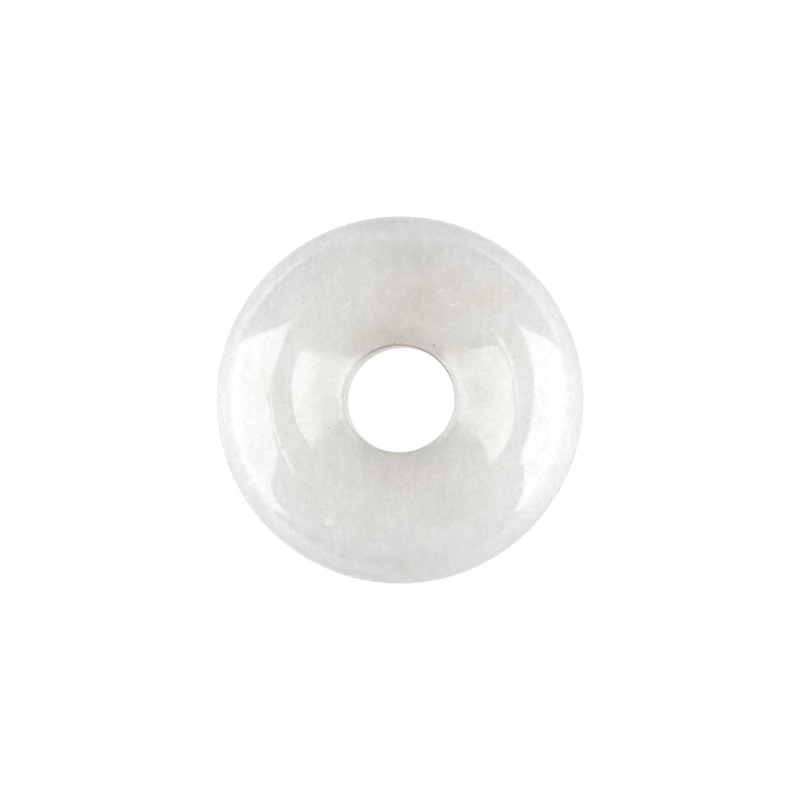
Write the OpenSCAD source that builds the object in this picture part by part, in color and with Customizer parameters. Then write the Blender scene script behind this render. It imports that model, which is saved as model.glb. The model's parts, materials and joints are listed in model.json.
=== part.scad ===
// Donut pendant: one polished stone ring, drilled through and worn on a cord passed through its hole.
// Millimetres. The origin is the centre of the hole at mid thickness, and +Z is the hole's axis.

/* [Ring] */
// Outer diameter of the ring
ring_d = 18; // [17.5:0.5:20]
// Thickness at the crest, the highest circle of each face
ring_t = 5.4; // [5:0.1:5.6]
// How far the crest lies outside the middle between the hole and the rim
crest_shift = 0.2; // [0:0.05:0.2]
// Radius of each arc of the face, as a multiple of the width that it spans
face_arc = 1.45; // [1.3:0.05:1.7]

/* [Hole] */
// Diameter of the drilled hole
hole_d = 5.3; // [4.8:0.1:5.4]
// Radius to which polishing has rounded the hole's two edges
hole_edge_r = 0.35; // [0.3:0.05:0.9]

/* [Hidden] */
$fn = 180;

ring_r = ring_d / 2;
hole_r = hole_d / 2;
half_t = ring_t / 2;
crest_r = (ring_r + hole_r) / 2 + crest_shift;
outer_w = ring_r - crest_r;
inner_w = crest_r - hole_r;

// How far the round edges are set into the faces, so that the arcs cross and don't just touch
overlap = 0.001;

// Each face is two arcs that meet level at its crest, each about a point straight below it.
outer_r = face_arc * outer_w;
outer_z = half_t - outer_r;
inner_r = face_arc * inner_w;
inner_z = half_t - inner_r;

// The rim is an arc about a point at mid height, with the radius that lets it run into both faces.
rim_r = (2 * outer_r * half_t - outer_w * outer_w - half_t * half_t) / (2 * (outer_r - outer_w)) + overlap;
rim_x = ring_r - rim_r;

// The hole's rounded edge runs into the drilled wall and the face.
edge_x = hole_r + hole_edge_r;
edge_z = inner_z + sqrt(pow(inner_r - hole_edge_r, 2) - pow(crest_r - edge_x, 2)) + overlap;

// Distance from the axis at which a round edge with centre x and radius r meets a face's arc
function meeting_x(x, r, arc_r) = crest_r + (x - crest_r) * arc_r / (arc_r - r);

// The part of both domed faces between two distances from the axis, which share one arc
module face_section(from_x, to_x, arc_r, arc_z) {
    intersection() {
        translate([crest_r, arc_z])
            circle(arc_r);
        translate([crest_r, -arc_z])
            circle(arc_r);
        translate([from_x, -half_t])
            square([to_x - from_x, ring_t]);
    }
}

// The full round of the outer rim
module rim_section() {
    translate([rim_x, 0])
        circle(rim_r);
}

// The drilled wall with its two rounded edges
module hole_section() {
    translate([hole_r, -edge_z])
        square([hole_edge_r, 2 * edge_z]);
    for (side = [-1, 1])
        translate([edge_x, side * edge_z])
            circle(hole_edge_r);
}

// The whole stone, turned about the hole's axis
module jade_donut() {
    color("#dddcd8")
        rotate_extrude()
            union() {
                face_section(meeting_x(edge_x, hole_edge_r, inner_r), crest_r, inner_r, inner_z);
                face_section(crest_r, meeting_x(rim_x, rim_r, outer_r), outer_r, outer_z);
                rim_section();
                hole_section();
            }
}

jade_donut();
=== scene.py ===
# White jade donut pendant, lying on a light table between two tall softboxes.
# Settings are in millimetres and degrees. Blender works in metres, so each length goes through mm().

import json
import math

import bmesh
import bpy
from mathutils import Matrix, Vector, noise


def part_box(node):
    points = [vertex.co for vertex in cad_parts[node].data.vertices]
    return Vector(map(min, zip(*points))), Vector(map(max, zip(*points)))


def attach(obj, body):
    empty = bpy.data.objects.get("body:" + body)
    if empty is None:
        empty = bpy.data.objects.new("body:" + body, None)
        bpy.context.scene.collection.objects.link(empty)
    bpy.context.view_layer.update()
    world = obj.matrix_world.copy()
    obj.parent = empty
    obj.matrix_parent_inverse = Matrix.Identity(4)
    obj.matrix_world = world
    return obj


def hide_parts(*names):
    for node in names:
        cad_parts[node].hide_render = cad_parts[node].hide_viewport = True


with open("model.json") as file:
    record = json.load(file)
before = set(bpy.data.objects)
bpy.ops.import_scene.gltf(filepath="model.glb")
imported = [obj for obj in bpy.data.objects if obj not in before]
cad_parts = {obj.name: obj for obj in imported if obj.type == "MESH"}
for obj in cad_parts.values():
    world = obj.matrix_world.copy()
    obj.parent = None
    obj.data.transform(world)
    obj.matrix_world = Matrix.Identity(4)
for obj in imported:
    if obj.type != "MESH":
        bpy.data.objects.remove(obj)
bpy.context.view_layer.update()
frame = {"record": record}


def mm(length):
    return length / 1000


def linear(hexCode):    # sRGB hex to the linear colour that a socket takes
    parts = [int(hexCode[i:i + 2], 16) / 255 for i in (0, 2, 4)]
    return (*[p / 12.92 if p <= 0.04045 else ((p + 0.055) / 1.055) ** 2.4 for p in parts], 1)


def addNode(tree, kind, inputs=None, **settings):
    node = tree.nodes.new(kind)
    for name, value in settings.items():
        setattr(node, name, value)
    for name, value in (inputs or {}).items():
        if isinstance(value, bpy.types.NodeSocket):
            tree.links.new(value, node.inputs[name])
        else:
            node.inputs[name].default_value = value
    return node


def newMaterial(name):
    material = bpy.data.materials.new(name)
    material.use_nodes = True
    material.node_tree.nodes.clear()
    return material


def newPiece(name, bm, material):
    mesh = bpy.data.meshes.new(name)
    bm.to_mesh(mesh)
    bm.free()
    mesh.materials.append(material)
    piece = bpy.data.objects.new(name, mesh)
    bpy.context.scene.collection.objects.link(piece)
    return piece


# The stone's section, a ring of revolution about Z
stone = {
    "crestShift": 0.2,      # how far the crest lies outside the middle between hole and rim
    "faceArc": 1.45,        # radius of each of the face's two arcs, over the width that it spans
    "holeEdge": 0.35,       # polishing has rounded the hole's edges to this radius
    "wallRings": 10,
    "edgeRings": 8,
    "innerRings": 36,
    "outerRings": 20,
    "rimRings": 40,
    "around": 400,
    "holeOff": 0.06,        # the drill wandered this far to the right
    "holeOval": 0.05,       # and left the hole this much wider and lower than round
    "waveSize": 2.6,        # hand polishing leaves low waves of this length
    "waveHeight": 0.0015,
}

ringRadius = round(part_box("jade_donut")[1][0], 4)       # to 0.1 mm, as the CAD mesh has flats
halfThick = round(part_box("jade_donut")[1][2], 4)
holeRadius = mm(frame["record"]["mounts"][0]["dims"]["r_mm"])

crest = (ringRadius + holeRadius) / 2 + mm(stone["crestShift"])
rimWidth = ringRadius - crest
outerRadius = stone["faceArc"] * rimWidth
outerZ = halfThick - outerRadius
innerRadius = stone["faceArc"] * (crest - holeRadius)
innerZ = halfThick - innerRadius
rimRadius = (2 * outerRadius * halfThick - rimWidth ** 2 - halfThick ** 2) / (2 * (outerRadius - rimWidth))
rimX = ringRadius - rimRadius
rimMeets = crest + (rimX - crest) * outerRadius / (outerRadius - rimRadius)
edgeRadius = mm(stone["holeEdge"])
edgeX = holeRadius + edgeRadius
edgeZ = innerZ + math.sqrt((innerRadius - edgeRadius) ** 2 - (crest - edgeX) ** 2)


def faceHeight(x, y):       # height of the upper face over a point, for placing marks on it
    r = math.hypot(x, y)
    if r > rimMeets:
        return math.sqrt(max(rimRadius ** 2 - (r - rimX) ** 2, 0))
    if r > crest:
        return outerZ + math.sqrt(outerRadius ** 2 - (r - crest) ** 2)
    return innerZ + math.sqrt(innerRadius ** 2 - (r - crest) ** 2)


def faceFall(r):        # how steeply the upper face falls outwards, at this distance from the axis
    if r > rimMeets:
        return (r - rimX) / math.sqrt(rimRadius ** 2 - (r - rimX) ** 2)
    radius = outerRadius if r > crest else innerRadius
    return (r - crest) / math.sqrt(radius ** 2 - (r - crest) ** 2)


def arcOn(bm, last, centre, degrees, steps):        # draws the section on from its last vertex
    out = bmesh.ops.spin(bm, geom=last, cent=centre, axis=(0, 1, 0), angle=math.radians(degrees),
                         steps=steps)
    return [v for v in out["geom_last"] if isinstance(v, bmesh.types.BMVert)]


def drawSection(bm):        # the upper half, from mid height on the drilled wall to mid height on the rim
    rimTurn = math.degrees(math.atan2(rimX - crest, -outerZ))
    edgeTurn = math.degrees(math.atan2(crest - edgeX, edgeZ - innerZ))
    last = bmesh.ops.create_vert(bm, co=(holeRadius, 0, 0))["vert"]
    last = bmesh.ops.extrude_vert_indiv(bm, verts=last)["verts"]
    bmesh.ops.translate(bm, verts=last, vec=(0, 0, edgeZ))
    bmesh.ops.subdivide_edges(bm, edges=bm.edges[:], cuts=stone["wallRings"] // 2 - 1)
    last = [max(bm.verts, key=lambda v: v.co.z)]
    last = arcOn(bm, last, (edgeX, 0, edgeZ), 90 - edgeTurn, stone["edgeRings"])
    last = arcOn(bm, last, (crest, 0, innerZ), edgeTurn, stone["innerRings"])
    last = arcOn(bm, last, (crest, 0, outerZ), rimTurn, stone["outerRings"])
    arcOn(bm, last, (rimX, 0, 0), 90 - rimTurn, stone["rimRings"])


def workByHand(bm):         # the wandering hole and the low waves of hand polishing
    bm.normal_update()
    for v in bm.verts:
        r = math.hypot(v.co.x, v.co.y)
        near = max(0, 1 - (r - holeRadius) / (crest - holeRadius)) ** 2
        v.co.x += near * mm(stone["holeOff"] + stone["holeOval"] * v.co.x / r)
        v.co.y -= near * mm(stone["holeOval"] * v.co.y / r)
        wave = noise.noise(v.co / mm(stone["waveSize"]))
        v.co += v.normal * mm(stone["waveHeight"]) * wave


def makeStone():
    bm = bmesh.new()
    drawSection(bm)
    bmesh.ops.mirror(bm, geom=bm.verts[:] + bm.edges[:], matrix=Matrix(), merge_dist=mm(0.0005), axis="Z")
    bmesh.ops.spin(bm, geom=bm.verts[:] + bm.edges[:], cent=(0, 0, 0), axis=(0, 0, 1), angle=math.tau / 4,
                   steps=stone["around"] // 4)
    for axis in ("X", "Y"):
        bmesh.ops.mirror(bm, geom=bm.verts[:] + bm.edges[:] + bm.faces[:], matrix=Matrix(),
                         merge_dist=mm(0.0005), axis=axis)
    bmesh.ops.recalc_face_normals(bm, faces=bm.faces[:])
    workByHand(bm)
    for face in bm.faces:
        face.smooth = True
    piece = newPiece("whiteJadeDonut", bm, jadeMaterial())
    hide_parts("jade_donut")
    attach(piece, "root")
    print("stone turned, quads:", len(piece.data.polygons))


# White jade, a massive quartz that is cut, drilled and tumbled to a glassy polish. Light goes a millimetre
# or two into it and scatters, which gives the eye a milky body under sharp reflections.
jade = {
    "milk": "dbdbda",       # clouds of milkier quartz in clearer quartz
    "clear": "d0d0ce",
    "cloudSize": 3.4,
    "cloudSpan": (0.35, 0.65),      # the share of the noise over which clear turns to milk
    "sugarSize": 0.22,      # the quartz grains, which show as a fine sugary mottle
    "sugarDepth": 0.065,
    "patchSize": 0.9,       # the stains are blotchy at this size
    "patchSpan": (0.36, 0.64),
    "patchDepth": (0.6, 1.4),       # by how much they thin out and gather
    "patchHues": ((1.015, 1.0, 0.99, 1), (0.99, 1.0, 1.0, 1)),      # and lean to rust and to green
    "streakWide": 0.35,     # faint threads that run up and down the picture
    "streakLong": 2.2,
    "streakDepth": 0.03,
    "warm": "d5d3cc",       # a breath of iron in the stone, strongest round the hole
    "warmReach": 8.4,       # how far from the axis it goes
    "paintedHoleGlint": "fdfbf8",     # painted highlight, white on the hole's edges to the left and right where the softboxes shine in them, which comes up between these distances from the hole's axis
    "paintedHoleGlintFrom": 3.1,     # which comes up between these distances from the hole's axis
    "paintedHoleGlintTo": 2.78,
    "paintedHoleGlintDepth": 0.9,
    "paintedHoleGlintAside": (1.4, 2.5),      # and this far to either side
    "pepperSize": 0.6,      # fine specks of iron, all through the stone and this far apart
    "pepperRadius": 0.045,
    "pepper": "6b5044",
    "pepperDepth": 0.6,
    "paintedWallShade": "7a6a4c",     # painted shade in dark brown on the drilled wall, strongest on the side towards the picture's top, which fades between these distances from the hole's axis
    "paintedWallShadeFrom": 2.76,     # and fades between these distances from the hole's axis
    "paintedWallShadeTo": 2.69,
    "paintedWallShadeSide": (0.35, 0.94, 0),      # the wall's most stained side
    "paintedWallShadeReach": (0.4, 2.4),
    "paintedWallShadeDepth": (0.28, 0.9),
    "scatter": 24.0,
    "polish": 0.02,         # roughness of the rim, the outer half of the face and the hole's edges
    "satin": 0.26,          # tumbling hardly reaches the slope into the hole, and leaves it satin
    "satinFrom": (4.9, 3.6),    # which comes up and goes again between these distances from the axis
    "satinTo": (3.5, 3.1),
    "edgePolish": 0.12,
    "pitSize": 0.25,        # what the tumbling left of the grain, too low to feel
    "pitHeight": 0.0003,
}

# Marks in the stone, with some painted highlight, shade and reflection among them, in rows of: right of the
# axis, above it, long, wide, turned by how many degrees and how strong. Places are as they are seen, from
# the right and from below, so that for each millimetre of its height on the face a mark sits further right
# and lower by this much
lean = (0.079, -0.042)
marks = {
    "rosyCloud": {"patchy": True, "colour": "c9bfb8", "soft": 0.0, "rows": (
        (1.5, 5.4, 7.6, 5.6, 0, 0.75), (0.6, 4.6, 5.6, 3.8, 0, 0.6), (2.9, 2.3, 3.2, 2.8, 0, 0.35),
        (4.2, 4.9, 3.6, 2.2, 20, 0.3), (-1.9, 3.4, 3.4, 2.6, 0, 0.1))},
    "blush": {"patchy": True, "colour": "dacfc8", "soft": 0.0, "rows": (
        (0.3, -3.7, 5.6, 3.2, 0, 0.6), (4.2, 4.9, 3.6, 2.2, 20, 0.4), (0.2, 3.6, 5.6, 3.0, 0, 0.5))},
    "strawCloud": {"patchy": True, "colour": "d3cfbe", "soft": 0.0, "rows": (
        (4.2, 4.9, 3.8, 2.4, 20, 0.35), (-1.2, 6.6, 7.0, 3.2, 0, 0.35), (-4.6, 0.6, 2.6, 5.0, 0, 0.15),
        (-3.4, 4.6, 4.6, 3.4, 0, 0.25), (2.6, -5.0, 6.0, 4.0, 0, 0.25), (-2.4, -5.6, 5.0, 3.4, 0, 0.2))},
    # grey clouds in the stone; the rows on the slopes left and right of the hole are painted shade, which
    # dims the softboxes' reflections there
    "greyCloudAndPaintedShade": {"patchy": True, "colour": "c5c2bc", "soft": 0.0, "rows": (
        (2.4, -5.2, 5.4, 3.4, 0, 0.4), (0.3, -8.1, 6.0, 2.2, 0, 0.5), (-4.7, -4.6, 5.0, 2.8, -35, 0.35),
        (0.4, 6.8, 5.6, 2.8, 0, 0.7), (3.9, 0.5, 3.4, 6.4, 0, 0.8), (-3.3, -0.2, 2.4, 5.0, 0, 0.9),
        (3.7, 2.2, 2.8, 2.4, 0, 0.55), (4.1, -2.2, 2.2, 2.6, 0, 0.45), (-3.9, 0.6, 1.8, 4.4, 0, 0.4))},
    # milkier clouds in the stone, and painted highlight where they brighten the softboxes' reflections on
    # the left and right
    "milkyCloudAndPaintedHighlight": {"colour": "e9ebec", "soft": 0.0, "rows": (
        (-4.9, 1.6, 2.4, 5.0, -15, 0.5), (-6.8, 2.5, 2.4, 3.6, 0, 0.4), (6.0, 0.0, 1.4, 6.0, 0, 0.3),
        (5.0, 4.0, 1.2, 1.6, 0, 0.2), (-3.0, -6.6, 2.2, 1.6, 0, 0.35), (6.4, -4.6, 2.6, 3.0, 0, 0.4))},
    "brownSmudge": {"patchy": True, "colour": "a3917c", "soft": 0.0, "rows": (
        (0.0, 3.1, 4.6, 1.3, 0, 0.16), (-2.3, 2.65, 1.8, 1.4, 40, 0.1), (2.1, 2.5, 2.2, 1.5, -50, 0.2),
        (-0.7, 3.5, 1.2, 1.3, 0, 0.25), (-1.8, 3.0, 1.1, 1.4, 20, 0.15), (0.7, 3.4, 1.2, 1.0, 0, 0.15))},
    # painted reflection: a pale triangle where a small light shines in the polish, fixed to the stone
    "paintedTriangleReflection": {"colour": "f4f4f4", "soft": 0.5, "rows": (
        (-3.45, -5.92, 0.74, 0.38, -35, 0.8), (-3.62, -6.02, 0.36, 0.28, 0, 0.6))},
    "speck": {"colour": "54504a", "soft": 0.3, "rows": (
        (-2.62, 7.98, 0.09, 0.09, 0, 1), (-2.70, 7.84, 0.07, 0.07, 0, 1), (-6.58, 4.22, 0.08, 0.08, 0, 1),
        (-7.66, 3.41, 0.12, 0.08, 0, 1), (-0.28, 2.75, 0.14, 0.12, 0, 1), (-1.33, 2.38, 0.10, 0.10, 0, 1),
        (1.67, 2.67, 0.11, 0.11, 0, 1), (7.46, 4.04, 0.09, 0.09, 0, 1), (4.42, 4.82, 0.07, 0.07, 0, 1),
        (4.13, 1.45, 0.07, 0.07, 0, 1), (7.94, 0.69, 0.07, 0.07, 0, 1), (8.68, 0.27, 0.07, 0.07, 0, 1),
        (-3.5, -1.34, 0.11, 0.11, 0, 1), (-5.75, -2.32, 0.09, 0.09, 0, 1), (-3.89, -5.3, 0.07, 0.07, 0, 1),
        (-4.58, -4.96, 0.07, 0.07, 0, 1), (3.59, -1.19, 0.08, 0.08, 0, 1), (3.77, -1.51, 0.08, 0.08, 0, 1),
        (2.91, -3.76, 0.08, 0.08, 0, 1))},
    "whiteWisp": {"colour": "f4f3f1", "soft": 0.0, "rows": (
        (-2.58, 4.66, 0.80, 0.24, 38, 0.8), (2.58, 4.64, 0.66, 0.18, -3, 0.9),
        (2.82, 4.72, 0.24, 0.2, 0, 0.8), (2.00, 5.32, 0.5, 0.22, 40, 0.7), (5.15, 5.36, 0.46, 0.2, 10, 0.7),
        (-2.23, -2.05, 0.24, 0.18, 70, 1))},
}


def jadeMaterial():
    m = newMaterial("polishedWhiteJade")
    t = m.node_tree
    coords = addNode(t, "ShaderNodeTexCoord")
    scaled = addNode(t, "ShaderNodeMapping", {"Vector": coords.outputs["Object"],
                                              "Scale": (1000, 1000, 1000)})
    at = scaled.outputs[0]      # millimetres from the hole's centre

    # Each layer is how much, which colour and how it mixes, from the body outwards
    layers = []
    clouds = addNode(t, "ShaderNodeTexNoise", {"Vector": at, "Scale": 1 / jade["cloudSize"], "Detail": 5,
                                               "Roughness": 0.66})
    cloudy = addNode(t, "ShaderNodeMapRange", {
        "Value": clouds.outputs[0], "From Min": jade["cloudSpan"][0], "From Max": jade["cloudSpan"][1]},
        interpolation_type="SMOOTHSTEP")
    layers.append((cloudy.outputs[0], linear(jade["milk"]), "MIX"))

    # The same place as seen from the hole's own axis, with the hole made round and flat
    fromHole = addNode(t, "ShaderNodeMapping", {
        "Vector": at, "Location": (stone["holeOff"], 0, 0), "Scale": (
            1 + stone["holeOval"] / (holeRadius * 1000), 1 - stone["holeOval"] / (holeRadius * 1000), 1e6)},
        vector_type="TEXTURE")
    radius = addNode(t, "ShaderNodeVectorMath", {0: fromHole.outputs[0]}, operation="LENGTH")
    away = radius.outputs["Value"]
    warmth = addNode(t, "ShaderNodeMapRange", {
        "Value": away, "From Min": jade["warmReach"], "From Max": holeRadius * 1000},
        interpolation_type="SMOOTHSTEP")
    layers.append((warmth.outputs[0], linear(jade["warm"]), "MIX"))
    # painted highlight: a white glint on the hole's edges to the left and right, where the softboxes shine
    paintedHoleGlintAmount = addNode(t, "ShaderNodeMapRange", {
        "Value": away, "From Min": jade["paintedHoleGlintFrom"], "From Max": jade["paintedHoleGlintTo"],
        "To Max": jade["paintedHoleGlintDepth"]}, interpolation_type="SMOOTHSTEP")
    across = addNode(t, "ShaderNodeSeparateXYZ", {0: fromHole.outputs[0]})
    aside = addNode(t, "ShaderNodeMath", {0: across.outputs["X"]}, operation="ABSOLUTE")
    sideways = addNode(t, "ShaderNodeMapRange", {
        "Value": aside.outputs[0], "From Min": jade["paintedHoleGlintAside"][0], "From Max": jade["paintedHoleGlintAside"][1]},
        interpolation_type="SMOOTHSTEP")
    paintedHoleGlintAmount = addNode(t, "ShaderNodeMath", {0: paintedHoleGlintAmount.outputs[0], 1: sideways.outputs[0]},
                      operation="MULTIPLY")
    layers.append((paintedHoleGlintAmount.outputs[0], linear(jade["paintedHoleGlint"]), "MIX"))
    # painted shade: a dark brown line round the drilled wall, strongest on the side towards the picture's
    # top
    drilled = addNode(t, "ShaderNodeMapRange", {
        "Value": away, "From Min": jade["paintedWallShadeFrom"], "From Max": jade["paintedWallShadeTo"]})
    side = addNode(t, "ShaderNodeVectorMath", {0: fromHole.outputs[0], 1: jade["paintedWallShadeSide"]},
                   operation="DOT_PRODUCT")
    upper = addNode(t, "ShaderNodeMapRange", {
        "Value": side.outputs["Value"], "From Min": jade["paintedWallShadeReach"][0],
        "From Max": jade["paintedWallShadeReach"][1], "To Min": jade["paintedWallShadeDepth"][0],
        "To Max": jade["paintedWallShadeDepth"][1]}, interpolation_type="SMOOTHSTEP")
    paintedWallShade = addNode(t, "ShaderNodeMath", {0: drilled.outputs[0], 1: upper.outputs[0]},
                     operation="MULTIPLY")
    layers.append((paintedWallShade.outputs[0], linear(jade["paintedWallShade"]), "MIX"))

    patches = addNode(t, "ShaderNodeTexNoise", {"Vector": at, "Scale": 1 / jade["patchSize"], "Detail": 4,
                                                "Roughness": 0.6})
    patchy = addNode(t, "ShaderNodeMapRange", {
        "Value": patches.outputs[0], "From Min": jade["patchSpan"][0], "From Max": jade["patchSpan"][1],
        "To Min": jade["patchDepth"][0], "To Max": jade["patchDepth"][1]})
    either = addNode(t, "ShaderNodeMapRange", {
        "Value": patches.outputs[0], "From Min": jade["patchSpan"][0], "From Max": jade["patchSpan"][1]})
    tinted = addNode(t, "ShaderNodeMix", {0: either.outputs[0], 6: jade["patchHues"][0],
                                          7: jade["patchHues"][1]}, data_type="RGBA")
    layers.append((1.0, tinted.outputs[2], "MULTIPLY"))
    for mark in marks.values():
        for x, y, long, wide, turn, strong in mark["rows"]:
            height = faceHeight(mm(x), mm(y)) * 1000
            place = (x + height * lean[0], y + height * lean[1], height)
            inside = addNode(t, "ShaderNodeMapping", {
                "Vector": at, "Location": place, "Scale": (long / 2, wide / 2, max(wide, 0.3)),
                "Rotation": (0, 0, math.radians(turn))}, vector_type="TEXTURE")
            distance = addNode(t, "ShaderNodeVectorMath", {0: inside.outputs[0]}, operation="LENGTH")
            amount = addNode(t, "ShaderNodeMapRange", {
                "Value": distance.outputs["Value"], "From Min": 1.0, "From Max": mark["soft"],
                "To Max": strong}, interpolation_type="SMOOTHSTEP")
            if mark.get("patchy"):
                amount = addNode(t, "ShaderNodeMath", {0: amount.outputs[0], 1: patchy.outputs[0]},
                                 operation="MULTIPLY")
            layers.append((amount.outputs[0], linear(mark["colour"]), "MIX"))

    pepper = addNode(t, "ShaderNodeTexVoronoi", {"Vector": at, "Scale": 1 / jade["pepperSize"]})
    dots = addNode(t, "ShaderNodeMapRange", {
        "Value": pepper.outputs["Distance"], "From Min": jade["pepperRadius"] / jade["pepperSize"],
        "From Max": 0.0, "To Max": jade["pepperDepth"]}, interpolation_type="SMOOTHSTEP")
    layers.append((dots.outputs[0], linear(jade["pepper"]), "MIX"))

    turned = addNode(t, "ShaderNodeMapping", {"Vector": at, "Rotation": (0.6, 0.4, 0.5)})
    sugar = addNode(t, "ShaderNodeTexNoise", {"Vector": turned.outputs[0], "Scale": 1 / jade["sugarSize"],
                                              "Detail": 3, "Roughness": 0.6})
    grain = addNode(t, "ShaderNodeMapRange", {
        "Value": sugar.outputs[0], "From Min": 0.3, "From Max": 0.7,
        "To Min": 1 - jade["sugarDepth"], "To Max": 1 + jade["sugarDepth"]})
    layers.append((1.0, grain.outputs[0], "MULTIPLY"))

    drawn = addNode(t, "ShaderNodeMapping", {"Vector": at, "Scale": (
        1 / jade["streakWide"], 1 / jade["streakLong"], 1 / jade["streakLong"])})
    streaks = addNode(t, "ShaderNodeTexNoise", {"Vector": drawn.outputs[0], "Scale": 1.0, "Detail": 1})
    threads = addNode(t, "ShaderNodeMapRange", {
        "Value": streaks.outputs[0], "From Min": 0.4, "From Max": 0.65, "To Min": 1.0,
        "To Max": 1 - jade["streakDepth"]}, interpolation_type="SMOOTHSTEP")
    layers.append((1.0, threads.outputs[0], "MULTIPLY"))

    colour = linear(jade["clear"])
    for amount, tint, blend in layers:
        mix = addNode(t, "ShaderNodeMix", {0: amount, 6: colour, 7: tint}, data_type="RGBA",
                      blend_type=blend)
        colour = mix.outputs[2]

    pits = addNode(t, "ShaderNodeTexNoise", {"Vector": at, "Scale": 1 / jade["pitSize"], "Detail": 2})
    bump = addNode(t, "ShaderNodeBump", {"Height": pits.outputs[0], "Distance": mm(jade["pitHeight"]),
                                         "Strength": 1.0})

    dulled = addNode(t, "ShaderNodeMapRange", {
        "Value": away, "From Min": jade["satinFrom"][0], "From Max": jade["satinFrom"][1],
        "To Min": jade["polish"], "To Max": jade["satin"]}, interpolation_type="SMOOTHSTEP")
    polish = addNode(t, "ShaderNodeMapRange", {
        "Value": away, "From Min": jade["satinTo"][0], "From Max": jade["satinTo"][1],
        "To Min": dulled.outputs[0], "To Max": jade["edgePolish"]}, interpolation_type="SMOOTHSTEP")

    shader = addNode(t, "ShaderNodeBsdfPrincipled", {
        "Base Color": colour,
        "Roughness": polish.outputs[0],
        "IOR": 1.55,
        "Subsurface Weight": 1.0,
        "Subsurface Radius": (1.0, 1.0, 0.95),
        "Subsurface Scale": mm(jade["scatter"]),
        "Normal": bump.outputs[0],
    })
    addNode(t, "ShaderNodeOutputMaterial", {"Surface": shader.outputs[0]})
    return m


makeStone()

# The table is opal acrylic lit from below, which gives the eye an even white with hardly any shadow. As in
# a picture exposed for the stone, it looks whiter to the camera and in the polish than the light it gives.
# Each softbox spills light on its side of the table, from this near the ring to this far, and away from
# the ring the table fades into the room.
table = {"size": 3000, "glow": 0.482, "inPolish": 0.77, "seen": 0.94, "colour": "6a6a6a",
         "spillFrom": 9, "spillTo": 45, "spill": 2.2, "fadeFrom": 28, "fadeTo": 90}
room = {"seen": 0.78, "lights": 0.01}       # a pale grey room to the camera, and a dim one to the stone


def makeTable():
    bm = bmesh.new()
    bmesh.ops.create_grid(bm, x_segments=1, y_segments=1, size=mm(table["size"] / 2))
    bmesh.ops.translate(bm, verts=bm.verts[:], vec=(0, 0, -halfThick))
    m = newMaterial("backlitOpalAcrylic")
    t = m.node_tree
    path = addNode(t, "ShaderNodeLightPath")
    coords = addNode(t, "ShaderNodeTexCoord")
    place = addNode(t, "ShaderNodeSeparateXYZ", {0: coords.outputs["Object"]})
    aside = addNode(t, "ShaderNodeMath", {0: place.outputs["X"]}, operation="ABSOLUTE")
    spilt = addNode(t, "ShaderNodeMapRange", {
        "Value": aside.outputs[0], "From Min": mm(table["spillFrom"]), "From Max": mm(table["spillTo"]),
        "To Min": table["inPolish"], "To Max": table["inPolish"] * table["spill"]})
    glow = addNode(t, "ShaderNodeMix", {
        0: path.outputs["Is Glossy Ray"], 2: table["glow"], 3: spilt.outputs[0]})
    away = addNode(t, "ShaderNodeVectorMath", {0: coords.outputs["Object"]}, operation="LENGTH")
    faded = addNode(t, "ShaderNodeMapRange", {
        "Value": away.outputs["Value"], "From Min": mm(table["fadeFrom"]), "From Max": mm(table["fadeTo"]),
        "To Min": table["seen"], "To Max": room["seen"]}, interpolation_type="SMOOTHSTEP")
    glow = addNode(t, "ShaderNodeMix", {
        0: path.outputs["Is Camera Ray"], 2: glow.outputs[0], 3: faded.outputs[0]})
    shader = addNode(t, "ShaderNodeBsdfPrincipled", {
        "Base Color": linear(table["colour"]),
        "Roughness": 0.9,
        "Specular IOR Level": 0.0,
        "Emission Color": (1, 1, 1, 1),
        "Emission Strength": glow.outputs[0],
    })
    addNode(t, "ShaderNodeOutputMaterial", {"Surface": shader.outputs[0]})
    m.cycles.emission_sampling = "NONE"     # so wide a glow is found without aiming at it
    newPiece("table", bm, m)
    print("table laid")


makeTable()

# The camera looks down on the ring from just right of the zenith and a little below it in the picture.
view = {"right": 4.5, "below": 2.4, "away": 800, "across": 39.14, "sensor": 36}


def aim(azimuth, elevation):    # degrees to the right of the zenith, then towards the picture's top
    a = math.radians(azimuth)
    e = math.radians(elevation)
    return Vector((math.sin(a) * math.cos(e), math.sin(e), math.cos(a) * math.cos(e)))


back = aim(view["right"], -view["below"])
eye = back * mm(view["away"])
pictureRight = Vector((0, 1, 0)).cross(back).normalized()
pictureUp = back.cross(pictureRight)


def glint(right, above):        # which way the polish looks, at a place as the camera sees it
    seen = pictureRight * mm(right) + pictureUp * mm(above)
    spot = seen
    for _ in range(6):      # each round finds the face more closely along the line of sight
        spot = seen.lerp(eye, (faceHeight(spot.x, spot.y) - seen.z) / (eye.z - seen.z))
    r = math.hypot(spot.x, spot.y)
    fall = faceFall(r) / r
    normal = Vector((spot.x * fall, spot.y * fall, 1)).normalized()
    sight = (eye - spot).normalized()
    return normal * (2 * normal.dot(sight)) - sight
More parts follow.
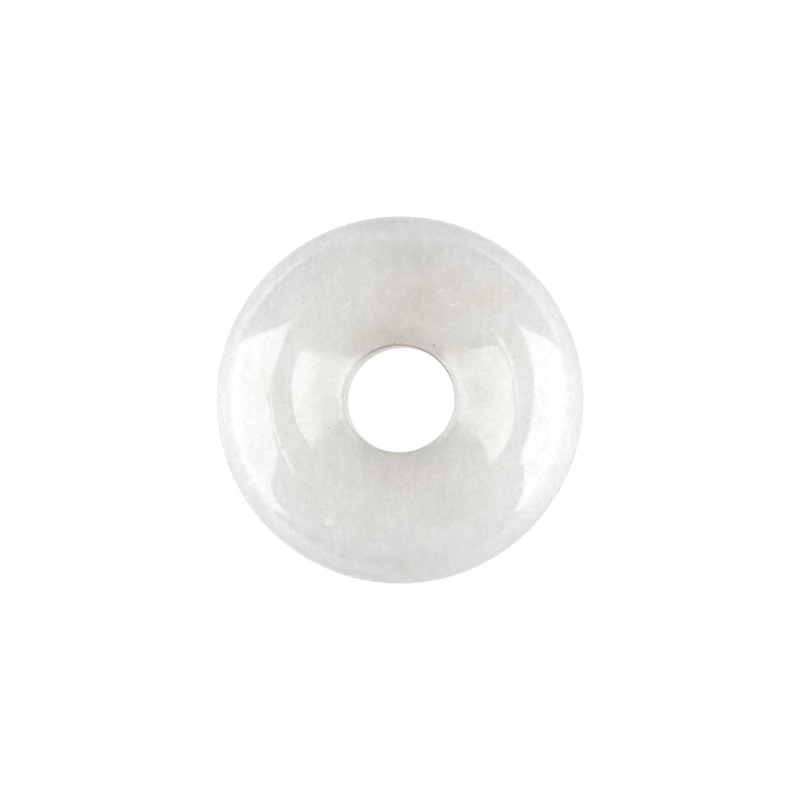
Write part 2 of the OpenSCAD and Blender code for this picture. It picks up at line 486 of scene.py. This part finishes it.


# Each light is a flat sheet of diffusing cloth or card. Its corners are the places where they shine in the
# polish, right of the picture's middle and above it, as charted. Where one is so near the rim that
# it looks at the table, its corner is under the table. The glow changes towards the foot, and along the
# foot towards the near end.
lights = {
    "leftSoftbox": {"facing": (-55, 0), "away": 900, "glow": 3.2, "footGlow": 5.4,
                    "footEnd": 3.4, "corners": (
        (-5.19, 4.01), (-5.46, 3.55), (-5.72, 2.81), (-5.87, 2.40), (-6.02, 1.91), (-6.36, 0.54),
        (-6.41, 0.30), (-6.60, 0.20), (-6.60, -0.10), (-6.37, -0.43), (-6.31, -1.05), (-6.20, -1.70),
        (-6.04, -2.32), (-5.92, -2.75), (-5.94, -2.88), (-6.07, -3.06), (-6.16, -3.42), (-6.28, -3.86),
        (-6.31, -4.10), (-6.25, -4.45), (-6.13, -4.77), (-5.91, -5.14), (-5.64, -5.43), (-5.34, -5.74),
        (-5.61, -5.66), (-5.94, -5.47), (-6.31, -5.35), (-7.91, 2.64), (-7.64, 2.89), (-7.36, 3.09),
        (-7.00, 3.24), (-6.63, 3.30), (-6.26, 3.45), (-5.83, 3.64), (-5.41, 3.79))},
    "leftSoftboxRim": {"facing": (-55, 0), "away": 900, "glow": 2.8, "footGlow": 2.8,
                       "footEnd": 2.8, "corners": (
        (-6.14, 1.38), (-5.61, -2.59), (-5.40, -3.16), (-5.26, -3.50), (-5.72, -2.83), (-6.00, -2.02),
        (-6.29, 0.59))},
    "rightSoftbox": {"facing": (62, 0), "away": 900, "glow": 3.35, "footGlow": 4.4,
                     "footEnd": 2.2, "corners": (
        (5.74, 3.76), (5.99, 3.30), (6.25, 2.68), (6.34, 2.26), (6.46, 1.71), (6.57, 1.25), (6.61, 0.49),
        (6.61, 0.00), (6.58, -0.43), (6.45, -1.01), (6.33, -1.55), (6.10, -2.20), (5.91, -2.69),
        (5.85, -3.04), (6.07, -3.19), (6.10, -3.67), (6.07, -4.10), (6.04, -4.53), (5.89, -4.89),
        (5.67, -5.26), (5.47, -5.45), (5.76, -5.45), (6.16, -5.36), (7.83, 2.40), (7.46, 2.81),
        (7.04, 3.09), (6.55, 3.27), (6.14, 3.48))},
    "farCard": {"facing": (0, 80), "away": 1000, "glow": 1.5, "footGlow": 1.5, "footEnd": 1.5,
                "corners": (
        (-3.82, 7.41), (-2.69, 7.66), (-1.81, 7.78), (0.00, 7.83), (1.47, 7.80), (2.69, 7.73),
        (2.95, 7.69))},
}
footHeight = 450            # over this height the glow changes
nearEnd = (-300, -700)      # and along the foot between these distances down the picture
hemHeight = 260             # and below this height it fades to the hem's share
hemGlow = 0.5


def makeLight(name):
    light = lights[name]
    facing = aim(*light["facing"])
    bm = bmesh.new()
    corners = []
    for corner in light["corners"]:
        way = glint(*corner)
        place = way * (mm(light["away"]) / way.dot(facing))
        corners += bmesh.ops.create_vert(bm, co=place)["vert"]
    bm.faces.new(corners)
    m = newMaterial(name + "Glow")
    t = m.node_tree
    coords = addNode(t, "ShaderNodeTexCoord")
    spot = addNode(t, "ShaderNodeSeparateXYZ", {0: coords.outputs["Object"]})
    foot = addNode(t, "ShaderNodeMapRange", {
        "Value": spot.outputs["Y"], "From Min": mm(nearEnd[0]), "From Max": mm(nearEnd[1]),
        "To Min": light["footGlow"], "To Max": light["footEnd"]}, interpolation_type="SMOOTHSTEP")
    bright = addNode(t, "ShaderNodeMapRange", {
        "Value": spot.outputs["Z"], "From Max": mm(footHeight), "To Min": foot.outputs[0],
        "To Max": light["glow"]}, interpolation_type="SMOOTHSTEP")
    hem = addNode(t, "ShaderNodeMapRange", {"Value": spot.outputs["Z"], "From Max": mm(hemHeight),
                                            "To Min": hemGlow})
    dimmed = addNode(t, "ShaderNodeMath", {0: bright.outputs[0], 1: hem.outputs[0]}, operation="MULTIPLY")
    glow = addNode(t, "ShaderNodeEmission", {"Color": (1, 1, 1, 1), "Strength": dimmed.outputs[0]})
    addNode(t, "ShaderNodeOutputMaterial", {"Surface": glow.outputs[0]})
    piece = newPiece(name, bm, m)
    piece.visible_camera = False
    print("light placed:", name)


for name in lights:
    makeLight(name)


def makeRoom():
    world = bpy.data.worlds.new("paleRoom")
    world.use_nodes = True
    t = world.node_tree
    t.nodes.clear()
    path = addNode(t, "ShaderNodeLightPath")
    strength = addNode(t, "ShaderNodeMix", {
        0: path.outputs["Is Camera Ray"], 2: room["lights"], 3: room["seen"]})
    back = addNode(t, "ShaderNodeBackground", {"Color": (1, 1, 1, 1), "Strength": strength.outputs[0]})
    addNode(t, "ShaderNodeOutputWorld", {"Surface": back.outputs[0]})
    world.cycles.sampling_method = "NONE"
    bpy.context.scene.world = world
    print("room set")


makeRoom()


def makeCamera():
    cam = bpy.data.cameras.new("camera")
    cam.sensor_width = view["sensor"]
    cam.lens = view["sensor"] * view["away"] / view["across"]
    cam.clip_start = mm(10)
    cam.clip_end = 5
    camera = bpy.data.objects.new("camera", cam)
    bpy.context.scene.collection.objects.link(camera)
    turn = Matrix((pictureRight, pictureUp, back)).transposed().to_4x4()
    camera.matrix_world = Matrix.Translation(eye) @ turn
    bpy.context.scene.camera = camera
    print("camera placed")


makeCamera()
bpy.context.scene.view_settings.view_transform = "Standard"
